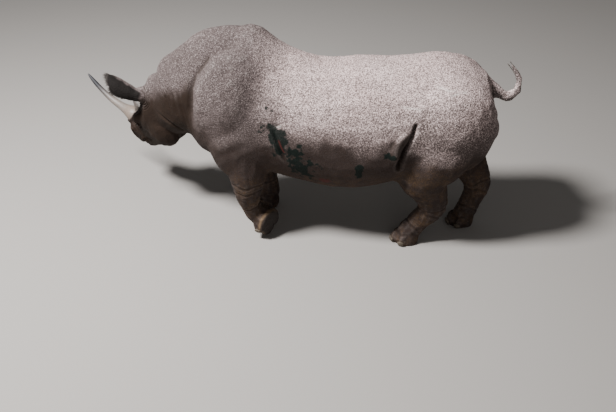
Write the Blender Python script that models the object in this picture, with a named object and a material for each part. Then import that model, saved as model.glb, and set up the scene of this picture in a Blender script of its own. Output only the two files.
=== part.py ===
"""Black rhinoceros, adult, life size, walking with its head low and turned to its right.

Metres, +Z up. The animal faces -X and its left side is towards -Y. The body is drawn with
x = 0 under the shoulder hump and y = 0 on the trunk's midline, and is moved at the end so that
the origin lies on the floor under the middle of its bounding box.

The flesh is modelled whole: oval sections lofted along the trunk, neck, head, legs and tail, with
ellipsoids for the big muscles, are fused by a voxel remesh, relaxed and thinned. Thin slabs then
part it into named pieces. Ears, eyes, horns and toenails are solids of their own, let into it.
"""

import math

import bmesh
import bpy
import numpy as np
from mathutils import Matrix, Vector

# ------------------------------------------------------------------ driving dimensions, metres
SHOULDER_HEIGHT = 1.62
CROUP_HEIGHT = 1.46
BACK_HEIGHT = 1.40
BELLY_HEIGHT = 0.42
CHEST_X = -0.40
RUMP_X = 1.80
BELLY_HALF_WIDTH = 0.44
SHOULDER_HALF_WIDTH = 0.37
HIP_HALF_WIDTH = 0.40

HEAD_LENGTH = 0.705
HEAD_PITCH = 40.5  # degrees, nose down
HEAD_YAW = 38.0  # degrees, nose to the animal's right
HEAD_ROLL = 12.0  # degrees, crown towards the animal's left
POLL = Vector((-0.644, 0.170, 0.895))

FRONT_HORN_LENGTH = 0.50
REAR_HORN_LENGTH = 0.12
EAR_LENGTH = 0.27
EYE_RADIUS = 0.017

FUSE_VOXEL = 0.014
RELAX_STEPS = 45
FLESH_TRIANGLES = 3120
GAP = 0.0005  # between neighbouring solids

LEFT, RIGHT = -1, 1


# ------------------------------------------------------------------ helpers
def clear_scene():
    for old in list(bpy.data.objects):
        bpy.data.objects.remove(old, do_unlink=True)


def new_object(name, bm):
    mesh = bpy.data.meshes.new(name)
    bmesh.ops.recalc_face_normals(bm, faces=bm.faces)
    bm.to_mesh(mesh)
    bm.free()
    made = bpy.data.objects.new(name, mesh)
    bpy.context.scene.collection.objects.link(made)
    return made


def apply_modifiers(obj):
    """The object's mesh as its modifiers leave it, and the modifiers gone."""
    graph = bpy.context.evaluated_depsgraph_get()
    mesh = bpy.data.meshes.new_from_object(obj.evaluated_get(graph))
    obj.modifiers.clear()
    old = obj.data
    obj.data = mesh
    bpy.data.meshes.remove(old)
    return obj


def join(name, objects):
    """One mesh of all these objects, which are removed."""
    bm = bmesh.new()
    for obj in objects:
        start = len(bm.verts)
        bm.from_mesh(obj.data)
        bm.verts.ensure_lookup_table()
        bmesh.ops.transform(bm, matrix=obj.matrix_world, verts=bm.verts[start:])
        bpy.data.objects.remove(obj, do_unlink=True)
    return new_object(name, bm)


def smooth_rows(rows, between):
    """Catmull-Rom curve through rows of numbers, with some more rows between each two."""
    rows = np.array(rows, float)
    padded = np.vstack([2 * rows[0] - rows[1], rows, 2 * rows[-1] - rows[-2]])
    out = []
    for a, b, c, d in zip(padded, padded[1:], padded[2:], padded[3:]):
        for t in np.arange(between) / between:
            out.append(
                0.5 * (2 * b + (c - a) * t + (2 * a - 5 * b + 4 * c - d) * t**2
                       + (3 * b - 3 * c + d - a) * t**3)
            )
    out.append(rows[-1])
    return np.array(out)


def oval(rise, drop, half_width, square, count):
    """Points (across, over) of a rounded outline: rise above and drop below its widest level."""
    for i in range(count):
        angle = 2 * math.pi * i / count
        c, s = math.cos(angle), math.sin(angle)
        reach = rise if s > 0 else drop
        yield (
            half_width * math.copysign(abs(c) ** (2 / square), c),
            reach * math.copysign(abs(s) ** (2 / square), s),
        )


def loft(name, stations, up, count=28, between=4):
    """Closed body through oval sections square to its path.

    A station is (x, y, z, half_width, rise, drop, squareness); rise is towards up.
    """
    rows = smooth_rows(stations, between)
    tangents = np.gradient(rows[:, :3], axis=0)
    bm = bmesh.new()
    rings = []
    for row, tangent in zip(rows, tangents):
        along = Vector(tangent).normalized()
        side = along.cross(Vector(up)).normalized()
        over = side.cross(along)
        half_width, rise, drop, square = row[3:]
        rings.append([
            bm.verts.new(Vector(row[:3]) + side * a + over * b)
            for a, b in oval(rise, drop, half_width, square, count)
        ])
    for ring, following in zip(rings, rings[1:]):
        for i in range(count):
            j = (i + 1) % count
            bm.faces.new((ring[i], ring[j], following[j], following[i]))
    bm.faces.new(rings[0][::-1])
    bm.faces.new(rings[-1])
    return new_object(name, bm)


def ellipsoid(name, centre, radii, turn=(0, 0, 0), segments=24):
    """Ellipsoid of three radii, turned by degrees about X, Y and Z."""
    bm = bmesh.new()
    bmesh.ops.create_uvsphere(bm, u_segments=segments, v_segments=segments // 2 + 1, radius=1)
    turned = Matrix.Rotation(math.radians(turn[2]), 4, "Z")
    turned = turned @ Matrix.Rotation(math.radians(turn[1]), 4, "Y")
    turned = turned @ Matrix.Rotation(math.radians(turn[0]), 4, "X")
    place = Matrix.Translation(centre) @ turned @ Matrix.Diagonal((*radii, 1))
    bmesh.ops.transform(bm, matrix=place, verts=bm.verts)
    return new_object(name, bm)


# ------------------------------------------------------------------ flesh: trunk, neck and tail
def trunk():
    """Barrel with its shoulder hump, hollow back, croup and hanging belly."""
    # x, top, bottom, half width, height of the widest level, squareness
    profile = [
        (CHEST_X, 1.39, 0.78, 0.215, 1.02, 2.0),
        (-0.30, 1.52, 0.67, 0.285, 1.00, 2.0),
        (-0.15, SHOULDER_HEIGHT + 0.02, 0.60, 0.33, 0.96, 2.0),
        (0.00, SHOULDER_HEIGHT, 0.56, SHOULDER_HALF_WIDTH, 0.93, 2.0),
        (0.20, SHOULDER_HEIGHT - 0.135, 0.51, 0.39, 0.90, 2.0),
        (0.45, BACK_HEIGHT - 0.005, BELLY_HEIGHT + 0.04, 0.42, 0.86, 2.1),
        (0.75, BACK_HEIGHT, BELLY_HEIGHT, BELLY_HALF_WIDTH, 0.82, 2.2),
        (1.05, BACK_HEIGHT + 0.02, BELLY_HEIGHT + 0.09, BELLY_HALF_WIDTH, 0.86, 2.2),
        (1.30, CROUP_HEIGHT - 0.02, BELLY_HEIGHT + 0.21, HIP_HALF_WIDTH, 0.94, 2.2),
        (1.50, CROUP_HEIGHT, BELLY_HEIGHT + 0.27, 0.37, 0.99, 2.1),
        (1.68, CROUP_HEIGHT - 0.11, BELLY_HEIGHT + 0.30, 0.32, 1.00, 2.0),
        (1.76, CROUP_HEIGHT - 0.19, BELLY_HEIGHT + 0.38, 0.25, 1.00, 2.0),
        (1.815, CROUP_HEIGHT - 0.30, BELLY_HEIGHT + 0.50, 0.14, 1.02, 2.0),
    ]
    stations = [
        (x, 0, level, half, top - level, level - bottom, square)
        for x, top, bottom, half, level, square in profile
    ]
    parts = [loft("trunk_core", stations, up=(0, 0, 1), count=36)]
    for side in (LEFT, RIGHT):
        parts += [
            ellipsoid("shoulder_blade", (-0.08, side * 0.20, 1.10), (0.29, 0.175, 0.42), (0, 14, 0)),
            ellipsoid("upper_arm", (-0.02, side * 0.255, 0.80), (0.25, 0.14, 0.28), (0, -10, 0)),
            ellipsoid("haunch", (1.46, side * 0.20, 1.03), (0.34, 0.215, 0.36), (0, 20, 0)),
            ellipsoid("buttock", (1.60, side * 0.165, 0.93), (0.205, 0.155, 0.32), (0, 8, 0)),
        ]
    return parts


def neck():
    """Short deep neck, from inside the shoulders to the poll."""
    stations = [
        (0.00, 0.00, 1.08, 0.25, 0.520, 0.38, 2.0),
        (-0.16, 0.00, 1.07, 0.25, 0.540, 0.35, 2.0),
        (-0.30, 0.01, 1.03, 0.23, 0.475, 0.29, 2.0),
        (-0.44, 0.04, 0.98, 0.205, 0.415, 0.22, 2.0),
        (-0.56, 0.10, 0.92, 0.18, 0.375, 0.20, 2.0),
        (*(POLL + Vector((-0.02, 0.04, 0.0))), 0.16, 0.27, 0.20, 2.0),
    ]
    return [loft("neck_core", stations, up=(0, 0, 1))]


def tail_path():
    """Stations of the tail: out of the croup, down, and curled up again to its tip."""
    # x, z and thickness from the root to the tip
    rows = [
        (1.60, 1.310, 0.150),
        (1.71, 1.250, 0.125),
        (1.785, 1.205, 0.100),
        (1.84, 1.160, 0.088),
        (1.892, 1.152, 0.076),
        (1.932, 1.192, 0.066),
        (1.946, 1.250, 0.056),
        (1.935, 1.305, 0.048),
        (1.902, 1.352, 0.040),
        (1.856, 1.405, 0.030),
    ]
    return [(x, 0, z, thick / 2, thick / 2, thick / 2, 2.0) for x, z, thick in rows]


# ------------------------------------------------------------------ flesh: head
def head_place():
    """Places a head point (-forward, right, up) from the poll into the body's frame."""
    turned = Matrix.Rotation(math.radians(-HEAD_YAW), 4, "Z")
    turned = turned @ Matrix.Rotation(math.radians(-HEAD_PITCH), 4, "Y")
    turned = turned @ Matrix.Rotation(math.radians(HEAD_ROLL), 4, "X")
    return Matrix.Translation(POLL) @ turned @ Matrix.Scale(HEAD_LENGTH / 0.68, 4)


def head():
    """Head along -x from the poll, before it is placed: profile, cheeks, brows, nose and lips."""
    # forward, top, bottom, half width, height of the widest level, squareness
    profile = [
        (-0.12, 0.255, -0.17, 0.130, -0.02, 2.0),
        (-0.03, 0.275, -0.215, 0.150, -0.02, 2.0),
        (0.06, 0.245, -0.235, 0.160, -0.01, 2.1),
        (0.15, 0.195, -0.235, 0.165, 0.00, 2.2),
        (0.25, 0.155, -0.225, 0.145, 0.01, 2.2),
        (0.34, 0.140, -0.215, 0.117, 0.01, 2.2),
        (0.42, 0.145, -0.190, 0.097, 0.01, 2.2),
        (0.50, 0.140, -0.155, 0.085, 0.01, 2.2),
        (0.56, 0.105, -0.125, 0.070, 0.00, 2.1),
        (0.61, 0.050, -0.090, 0.048, -0.02, 2.0),
        (0.64, 0.000, -0.060, 0.024, -0.03, 2.0),
    ]
    stations = [
        (-forward, 0, level, half, top - level, level - bottom, square)
        for forward, top, bottom, half, level, square in profile
    ]
    parts = [
        loft("head_core", stations, up=(0, 0, 1)),
        ellipsoid("horn_boss", (-0.49, 0, 0.120), (0.085, 0.074, 0.042)),
        ellipsoid("upper_lip", (-0.605, 0, -0.040), (0.052, 0.036, 0.045), (0, 25, 0)),
        ellipsoid("chin", (-0.50, 0, -0.128), (0.085, 0.052, 0.038), (0, 12, 0)),
    ]
    for side in (LEFT, RIGHT):
        parts += [
            ellipsoid("cheek", (-0.13, side * 0.102, -0.105), (0.160, 0.080, 0.140), (0, 12, 0)),
            ellipsoid("brow", (-0.27, side * 0.125, 0.095), (0.075, 0.042, 0.038), (0, -8, 0)),
            ellipsoid("ear_root", (-0.05, side * 0.108, 0.200), (0.060, 0.054, 0.060)),
            ellipsoid("nostril_wing", (-0.50, side * 0.064, 0.045), (0.058, 0.030, 0.048)),
        ]
    return parts


# ------------------------------------------------------------------ flesh: legs and feet
# half width, rise in front, drop behind, squareness, at each joint from the top down
FRONT_SECTIONS = [
    (0.125, 0.200, 0.190, 2.0),  # inside the shoulder
    (0.122, 0.165, 0.165, 2.0),  # elbow
    (0.105, 0.128, 0.125, 2.1),  # forearm
    (0.088, 0.098, 0.092, 2.2),  # wrist
    (0.080, 0.080, 0.080, 2.1),  # cannon
    (0.088, 0.085, 0.095, 2.0),  # fetlock
]
HIND_SECTIONS = [
    (0.150, 0.240, 0.230, 2.0),  # inside the haunch
    (0.170, 0.270, 0.250, 2.0),  # thigh
    (0.145, 0.200, 0.210, 2.0),  # stifle
    (0.105, 0.130, 0.150, 2.0),  # gaskin
    (0.084, 0.092, 0.125, 2.1),  # hock
    (0.078, 0.082, 0.090, 2.1),  # cannon
    (0.084, 0.084, 0.090, 2.0),  # fetlock
]
LEGS = {
    "front_left": {
        "sections": FRONT_SECTIONS,
        "joints": [(-0.02, -0.25, 0.92), (0.01, -0.27, 0.66), (0.01, -0.275, 0.50),
                   (0.01, -0.265, 0.37), (0.025, -0.240, 0.265), (0.060, -0.212, 0.190)],
        "foot": (0.160, -0.255, 0.150),
        "heading": 36.0,  # degrees, toes towards the animal's right
        "heel_lift": 80.0,
    },
    "front_right": {
        "sections": FRONT_SECTIONS,
        "joints": [(-0.04, 0.25, 0.92), (0.02, 0.25, 0.66), (0.04, 0.24, 0.50),
                   (0.07, 0.23, 0.36), (0.10, 0.22, 0.22), (0.10, 0.215, 0.12)],
        "foot": (0.08, 0.21, 0.0),
        "heading": 6.0,
        "heel_lift": 0.0,
    },
    "hind_left": {
        "sections": HIND_SECTIONS,
        "joints": [(1.46, -0.20, 1.02), (1.40, -0.25, 0.82), (1.31, -0.265, 0.62),
                   (1.36, -0.240, 0.47), (1.40, -0.215, 0.32), (1.32, -0.210, 0.20),
                   (1.27, -0.215, 0.12)],
        "foot": (1.24, -0.220, 0.0),
        "heading": -10.0,
        "heel_lift": 0.0,
    },
    "hind_right": {
        "sections": HIND_SECTIONS,
        "joints": [(1.50, 0.20, 1.02), (1.55, 0.22, 0.82), (1.61, 0.20, 0.62),
                   (1.71, 0.16, 0.46), (1.77, 0.125, 0.33), (1.74, 0.09, 0.21),
                   (1.71, 0.07, 0.12)],
        "foot": (1.69, 0.06, 0.0),
        "heading": -14.0,
        "heel_lift": 0.0,
    },
}
SOLE_LENGTH = {"front": 0.230, "hind": 0.200}
SOLE_WIDTH = {"front": 0.220, "hind": 0.188}
SOLE_DIP = 0.02  # how far a sole reaches below the floor, which then trims it flat
TOE_ANGLES = (-60.0, 0.0, 60.0)  # degrees round the front of the foot
NAIL_CLEARANCE = 0.002  # nails end this far above the floor


def foot_place(leg):
    """Places a foot drawn flat at the origin, toes along -x, under its leg."""
    spec = LEGS[leg]
    turned = Matrix.Rotation(math.radians(-spec["heading"]), 4, "Z")
    turned = turned @ Matrix.Rotation(math.radians(-spec["heel_lift"]), 4, "Y")
    return Matrix.Translation(spec["foot"]) @ turned


def toe_centre(kind, angle):
    """Where a toe's bulge sits on a flat foot."""
    length, width = SOLE_LENGTH[kind], SOLE_WIDTH[kind]
    a = math.radians(angle)
    return Vector((-0.33 * length * math.cos(a) - 0.02, 0.33 * width * math.sin(a), 0.040))


def foot(leg):
    """Pad, ankle and three toes, set under the leg."""
    kind = leg.split("_")[0]
    half_length, half_width = SOLE_LENGTH[kind] / 2, SOLE_WIDTH[kind] / 2
    place = foot_place(leg)
    # height, half width, front, back, squareness
    rings = [
        (0.150, 0.72, 0.66, 0.74, 2.0),
        (0.095, 0.84, 0.82, 0.86, 2.0),
        (0.045, 0.95, 0.95, 0.90, 2.1),
        (0.000, 0.97, 0.98, 0.88, 2.2),
        (-SOLE_DIP, 0.95, 0.96, 0.86, 2.2),
    ]
    stations = [
        (0, 0, z, half_width * w, half_length * f, half_length * b, square)
        for z, w, f, b, square in rings
    ]
    parts = [loft("foot_pad", stations, up=(-1, 0, 0))]
    for angle in TOE_ANGLES:
        size = 1.0 if angle == 0 else 0.86
        radii = (0.052 * size, 0.046 * size, 0.052)
        parts.append(ellipsoid("toe", toe_centre(kind, angle), radii, (0, 0, -angle)))
    if LEGS[leg]["heel_lift"] > 0:
        parts.append(ellipsoid("toe_pad", (-0.118, 0, 0.004), (0.032, 0.050, 0.026)))
    for part in parts:
        part.matrix_world = place @ part.matrix_world
    return parts


def leg(name):
    spec = LEGS[name]
    stations = [(*joint, *section) for joint, section in zip(spec["joints"], spec["sections"])]
    return [loft(name + "_core", stations, up=(-1, 0, 0))] + foot(name)


# ------------------------------------------------------------------ fusing the flesh
def softness(point):
    """How far a place is relaxed: the body fully, the head, the tail and the feet little."""
    nose_ward = (head_place().inverted() @ point).x
    on_head = min(1.0, max(0.0, (0.10 - nose_ward) / 0.15)) if point.x < -0.40 else 0.0
    on_foot = min(1.0, max(0.0, (0.26 - point.z) / 0.12))
    on_tail = min(1.0, max(0.0, (point.x - 1.80) / 0.08)) if point.z > 1.05 else 0.0
    return 1.0 - 0.85 * max(on_head, on_foot, on_tail)


def fused(parts):
    """One skin round all these overlapping bodies, relaxed so that they run into each other."""
    flesh = join("flesh", parts)
    remesh = flesh.modifiers.new("fuse", "REMESH")
    remesh.mode = "VOXEL"
    remesh.voxel_size = FUSE_VOXEL
    apply_modifiers(flesh)
    soft = flesh.vertex_groups.new(name="soft")
    for vert in flesh.data.vertices:
        soft.add([vert.index], softness(vert.co), "REPLACE")
    relax = flesh.modifiers.new("relax", "SMOOTH")
    relax.factor = 0.5
    relax.iterations = RELAX_STEPS
    relax.vertex_group = "soft"
    return apply_modifiers(flesh)


def thinned(flesh, triangles):
    """The same shape in fewer triangles, which stay closest where it bends most."""
    thin = flesh.modifiers.new("thin", "DECIMATE")
    thin.ratio = triangles / (2 * len(flesh.data.polygons))
    thin.use_collapse_triangulate = True
    return apply_modifiers(flesh)


def trimmed_at_floor(obj, height=0.0):
    """Flat below: all that reaches under the floor, or under a height above it, is cut off."""
    place = Matrix.Translation((-2.0, 0, height - 0.5))
    ground = block("ground", place, (6.0, 4.0, 1.0))
    combined(obj, ground, "DIFFERENCE")
    bpy.data.objects.remove(ground, do_unlink=True)
    return obj


# ------------------------------------------------------------------ inserts
def horn(name, foot_point, path, radii):
    """Tapering horn along points (forward, up) from the middle of its foot on the head."""
    forward, up = foot_point
    stations = [
        (-(forward + a), 0, up + b, radius, radius * 1.06, radius * 1.06, 2.0)
        for (a, b), radius in zip(path, radii)
    ]
    made = loft(name, stations, up=(0, 1, 0), count=12, between=2)
    made.matrix_world = head_place()
    return made


def front_horn():
    """Long slender horn, wide-footed, swept forward and then up to its tip."""
    length = FRONT_HORN_LENGTH
    shape = [(0.0, 0.0), (0.07, 0.10), (0.16, 0.24), (0.25, 0.42), (0.30, 0.61), (0.32, 0.80), (0.32, 0.95)]
    path = [(-0.01, -0.05)] + [(a * length, b * length) for a, b in shape]
    radii = [0.060, 0.064, 0.046, 0.037, 0.031, 0.024, 0.015, 0.004]
    return horn("front_horn", (0.49, 0.145), path, radii)


def rear_horn():
    """Short cone behind the first."""
    rise = REAR_HORN_LENGTH
    path = [(0.01, -0.05), (0.00, 0.00), (-0.005, 0.3 * rise), (-0.008, 0.7 * rise), (-0.010, rise)]
    return horn("rear_horn", (0.345, 0.135), path, [0.055, 0.055, 0.038, 0.020, 0.004])


def eye(side):
    made = ellipsoid("eye", (-0.335, side * 0.118, 0.050), (EYE_RADIUS,) * 3, segments=12)
    made.matrix_world = head_place() @ made.matrix_world
    return made


# where each ear's tip and its opening point, as (forward, right, up) on the head
EAR_AIMS = {
    LEFT: ((0.30, -0.30, 0.90), (0.85, -0.45, -0.20)),  # pricked forward
    RIGHT: ((-0.15, 0.85, 0.10), (0.10, 0.10, -1.00)),  # laid out to the side
}


def ear_margin(u):
    """Half the angle an ear wraps round, from its tube at the base to its tip, in degrees."""
    return float(np.interp(u, [0, 0.15, 0.35, 0.6, 0.85, 1.0], [165, 150, 112, 100, 92, 66]))


def ear_radius(u):
    return float(np.interp(u, [0, 0.15, 0.4, 0.7, 0.9, 1.0], [0.036, 0.042, 0.070, 0.084, 0.076, 0.056]))


def torn(side, u, v):
    """How far an ear's margin is drawn in by its nicks, at a height u and across v."""
    if side == RIGHT:
        return 0.0
    low_nick = 0.24 * math.exp(-(((v + 0.95) / 0.25) ** 2) - ((u - 0.56) / 0.07) ** 2)
    top_nick = 0.20 * math.exp(-(((v - 0.90) / 0.25) ** 2) - ((u - 0.89) / 0.08) ** 2)
    return low_nick + top_nick


def ear(side):
    """Rolled leaf of an ear, as a shell of even thickness; the left one's margin is nicked."""
    rows, columns, thickness = 10, 11, 0.012
    bm = bmesh.new()
    grid = []
    for i in range(rows):
        u = i / (rows - 1)
        ring = []
        for j in range(columns):
            v = 2 * j / (columns - 1) - 1
            angle = math.radians(ear_margin(u)) * v * (1 - torn(side, u, v))
            radius = ear_radius(u)
            height = EAR_LENGTH * u * (1 - 0.10 * v * v * u)
            back = radius * (math.cos(angle) - 0.6)
            ring.append(bm.verts.new((-back, radius * math.sin(angle), height)))
        grid.append(ring)
    for low, high in zip(grid, grid[1:]):
        for j in range(columns - 1):
            bm.faces.new((low[j], low[j + 1], high[j + 1], high[j]))
    made = new_object("ear", bm)
    shell = made.modifiers.new("shell", "SOLIDIFY")
    shell.thickness = thickness
    shell.offset = 0
    apply_modifiers(made)
    tip, opening = (Vector((-f, r, u)) for f, r, u in EAR_AIMS[side])
    axis = tip.normalized()
    across = axis.cross(opening).normalized()
    turned = Matrix((across.cross(axis), across, axis)).transposed().to_4x4()
    base = Vector((-0.045, side * 0.115, 0.200))
    made.matrix_world = head_place() @ Matrix.Translation(base) @ turned
    return made


def nail(leg, angle):
    """Curved plate on the front of a toe, its lower edge just clear of the floor."""
    kind = leg.split("_")[0]
    size = 1.0 if angle == 0 else 0.86
    centre = toe_centre(kind, angle)
    reach = Vector((0.058 * size, 0.050 * size, 0.056))
    bm = bmesh.new()
    shells = []
    for scale in (1.0, 0.66):
        grid = []
        for height in (-0.0372, -0.014, 0.010):
            ring = math.sqrt(1 - (height / reach.z) ** 2)
            row = []
            for k in range(-2, 3):
                a = math.radians(k * (23 if angle == 0 else 20))
                row.append(bm.verts.new((
                    -reach.x * ring * scale * math.cos(a),
                    reach.y * ring * scale * math.sin(a),
                    height - 0.006 * abs(k) * (height > 0),
                )))
            grid.append(row)
        shells.append(grid)
    outer, inner = shells
    rows, columns = len(outer), len(outer[0])
    for i in range(rows - 1):
        for j in range(columns - 1):
            bm.faces.new((outer[i][j], outer[i][j + 1], outer[i + 1][j + 1], outer[i + 1][j]))
            bm.faces.new((inner[i][j], inner[i + 1][j], inner[i + 1][j + 1], inner[i][j + 1]))
    rim = [(0, j) for j in range(columns)] + [(i, columns - 1) for i in range(1, rows)]
    rim += [(rows - 1, j) for j in range(columns - 2, -1, -1)] + [(i, 0) for i in range(rows - 2, 0, -1)]
    for (a, b), (c, d) in zip(rim, rim[1:] + rim[:1]):
        bm.faces.new((outer[a][b], outer[c][d], inner[c][d], inner[a][b]))
    made = new_object("nail", bm)
    place = foot_place(leg) @ Matrix.Translation(centre) @ Matrix.Rotation(math.radians(-angle), 4, "Z")
    made.matrix_world = place
    settle(made, "nail")
    lifted = LEGS[leg]["heel_lift"] > 0
    return trimmed_at_floor(made, NAIL_CLEARANCE) if lifted else made


# ------------------------------------------------------------------ parting
def settle(obj, name):
    """Moves an object's place into its mesh, in triangles, and gives it its node's name."""
    bm = bmesh.new()
    bm.from_mesh(obj.data)
    bmesh.ops.transform(bm, matrix=obj.matrix_world, verts=bm.verts)
    bmesh.ops.triangulate(bm, faces=bm.faces)
    bm.to_mesh(obj.data)
    bm.free()
    obj.matrix_world = Matrix.Identity(4)
    obj.name = name
    obj.data.name = name
    return obj


def triangulated(obj):
    """Splits faces into triangles, so a swollen copy keeps to the same shape."""
    bm = bmesh.new()
    bm.from_mesh(obj.data)
    bmesh.ops.triangulate(bm, faces=bm.faces)
    bm.to_mesh(obj.data)
    bm.free()


def copy_of(obj, grow=0.0):
    """A copy of a mesh, swollen along its normals."""
    made = bpy.data.objects.new(obj.name + "_copy", obj.data.copy())
    bpy.context.scene.collection.objects.link(made)
    if grow:
        bm = bmesh.new()
        bm.from_mesh(made.data)
        bm.normal_update()
        for vert in bm.verts:
            vert.co += vert.normal * grow * vert.calc_shell_factor()
        bm.to_mesh(made.data)
        bm.free()
    return made


def combined(obj, other, operation):
    """The object cut or kept by the other, exactly."""
    boolean = obj.modifiers.new("cut", "BOOLEAN")
    boolean.solver = "EXACT"
    boolean.operation = operation
    boolean.object = other
    bpy.context.view_layer.update()
    return apply_modifiers(obj)


def largest_piece(obj):
    """Drops crumbs: all but the piece with most faces."""
    bm = bmesh.new()
    bm.from_mesh(obj.data)
    bmesh.ops.remove_doubles(bm, verts=bm.verts, dist=0.000002)
    left_over = set(bm.verts)
    pieces = []
    while left_over:
        seed = left_over.pop()
        piece, front = {seed}, [seed]
        while front:
            for edge in front.pop().link_edges:
                for vert in edge.verts:
                    if vert in left_over:
                        left_over.remove(vert)
                        piece.add(vert)
                        front.append(vert)
        pieces.append(piece)
    pieces.sort(key=len, reverse=True)
    crumbs = [vert for piece in pieces[1:] for vert in piece]
    bmesh.ops.delete(bm, geom=crumbs, context="VERTS")
    bmesh.ops.triangulate(bm, faces=bm.faces)
    bmesh.ops.recalc_face_normals(bm, faces=bm.faces)
    bm.to_mesh(obj.data)
    bm.free()
    return obj


def let_in(flesh, insert):
    """Makes room in the flesh for a solid of its own."""
    swollen = copy_of(insert, GAP)
    combined(flesh, swollen, "DIFFERENCE")
    bpy.data.objects.remove(swollen, do_unlink=True)


def part_off(flesh, region, name):
    """Takes what lies in the region off the flesh as a node, with a thin gap between them."""
    triangulated(region)
    piece = copy_of(flesh)
    combined(piece, region, "INTERSECT")
    swollen = copy_of(region, GAP)
    combined(flesh, swollen, "DIFFERENCE")
    for spent in (region, swollen):
        bpy.data.objects.remove(spent, do_unlink=True)
    piece.name = name
    piece.data.name = name
    return largest_piece(piece)


def block(name, place, size):
    """Box whose -x face lies on the place's origin, size (long, wide, high)."""
    bm = bmesh.new()
    bmesh.ops.create_cube(bm, size=1)
    bmesh.ops.scale(bm, vec=size, verts=bm.verts)
    bmesh.ops.translate(bm, vec=(size[0] / 2, 0, 0), verts=bm.verts)
    bmesh.ops.transform(bm, matrix=place, verts=bm.verts)
    return new_object(name, bm)


def head_region():
    """All in front of a plane behind the ears and the angle of the jaw."""
    place = head_place() @ Matrix.Translation((0.085, 0, 0)) @ Matrix.Rotation(math.radians(180), 4, "Z")
    place = place @ Matrix.Rotation(math.radians(-10), 4, "Y")
    return block("head_region", place, (1.0, 0.56, 0.80))


def neck_region():
    """All in front of the shoulders."""
    place = Matrix.Translation((-0.44, 0, 1.0)) @ Matrix.Rotation(math.radians(180), 4, "Z")
    return block("neck_region", place, (1.0, 1.4, 1.6))


def tail_region():
    place = Matrix.Translation((1.842, 0, 1.25))
    return block("tail_region", place, (0.5, 0.24, 0.36))


def leg_region(name):
    """Sleeve round a leg from the elbow or the stifle down, domed on top, wide round the foot."""
    spec = LEGS[name]
    margin = 0.045
    joints, sections = spec["joints"][1:], spec["sections"][1:]
    top = Vector(joints[0])
    half, front, back, square = sections[0]
    stations = [
        (*(top + Vector((0, 0, 0.075))), 0.25 * half, 0.25 * front, 0.25 * back, 2.0),
        (*(top + Vector((0, 0, 0.060))), 0.75 * half, 0.75 * front, 0.75 * back, 2.0),
    ]
    for joint, (half, front, back, square) in zip(joints[:-1], sections[:-1]):
        stations.append((*joint, half + margin, front + margin, back + margin, 2.0))
    x, y, z = spec["foot"]
    knee = Vector(joints[-2])
    for height in (0.16, -0.05):
        t = 0.5 if height > 0 else 0.0
        middle = Vector((x, y, 0)).lerp(Vector((knee.x, knee.y, 0)), t)
        stations.append((middle.x, middle.y, height, 0.17, 0.20, 0.20, 2.0))
    return loft(name + "_region", stations, up=(-1, 0, 0), count=14, between=1)


# ------------------------------------------------------------------ colours and finish
# base colour, roughness, metallic
COLOURS = {
    "hide": ((0.205, 0.170, 0.140), 0.82, 0.0),
    "horn": ((0.105, 0.095, 0.085), 0.50, 0.0),
    "eye": ((0.012, 0.008, 0.006), 0.12, 0.0),
    "nail": ((0.235, 0.200, 0.155), 0.55, 0.0),
}


def material(name, kind):
    """A material of the node's own."""
    colour, roughness, metallic = COLOURS[kind]
    made = bpy.data.materials.new(name)
    made.use_nodes = True
    shader = made.node_tree.nodes["Principled BSDF"]
    shader.inputs["Base Color"].default_value = (*colour, 1)
    shader.inputs["Roughness"].default_value = roughness
    shader.inputs["Metallic"].default_value = metallic
    made.diffuse_color = (*colour, 1)
    return made


def finish(nodes):
    """Recentres the whole animal, shades it smooth and gives each node its material."""
    corners = np.array([vert.co for obj in nodes for vert in obj.data.vertices])
    low, high = corners.min(axis=0), corners.max(axis=0)
    offset = Vector((-(low[0] + high[0]) / 2, -(low[1] + high[1]) / 2, -low[2]))
    for obj in nodes:
        obj.data.transform(Matrix.Translation(offset))
        obj.data.polygons.foreach_set("use_smooth", [True] * len(obj.data.polygons))
        kind = next((k for k in ("horn", "eye", "nail") if k in obj.name), "hide")
        obj.data.materials.clear()
        obj.data.materials.append(material(obj.name + "_" + kind, kind))


# ------------------------------------------------------------------ the animal
def flesh_parts():
    parts = trunk() + neck() + [loft("tail_core", tail_path(), up=(0, 1, 0), count=16)]
    for name in LEGS:
        parts += leg(name)
    on_head = head()
    for part in on_head:
        part.matrix_world = head_place() @ part.matrix_world
    return parts + on_head


def inserts():
    """Every solid that is let into the flesh, settled in its place under its node's name."""
    made = [settle(front_horn(), "front_horn"), settle(rear_horn(), "rear_horn")]
    for side, word in ((LEFT, "left"), (RIGHT, "right")):
        made.append(settle(eye(side), word + "_eye"))
        made.append(settle(ear(side), word + "_ear"))
    for name in LEGS:
        end, side = name.split("_")
        for angle, place in zip(TOE_ANGLES, ("a", "b", "c")):
            made.append(settle(nail(name, angle), f"{end}_{side}_nail_{place}"))
    return made


def main():
    clear_scene()
    flesh = fused(flesh_parts())
    flesh = trimmed_at_floor(thinned(flesh, FLESH_TRIANGLES))
    nodes = inserts()
    for insert in nodes:
        let_in(flesh, insert)
        largest_piece(insert)
    nodes.append(part_off(flesh, head_region(), "head"))
    nodes.append(part_off(flesh, neck_region(), "neck"))
    nodes.append(part_off(flesh, tail_region(), "tail"))
    for name in LEGS:
        nodes.append(part_off(flesh, leg_region(name), name + "_leg"))
    flesh.name = "trunk"
    flesh.data.name = "trunk"
    nodes.append(largest_piece(flesh))
    finish(nodes)


main()
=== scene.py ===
"""A life-size black rhinoceros: one hide over the flesh, with its horns, eyes, nails and hair.

Lengths are in metres. Places on the body are given in the body's own measure, as x towards the tail,
y towards the animal's right and z up, from the floor below the shoulder hump.
"""

import itertools
import math

import bmesh
import bpy
import numpy as np
from mathutils import Matrix, Vector


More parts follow.
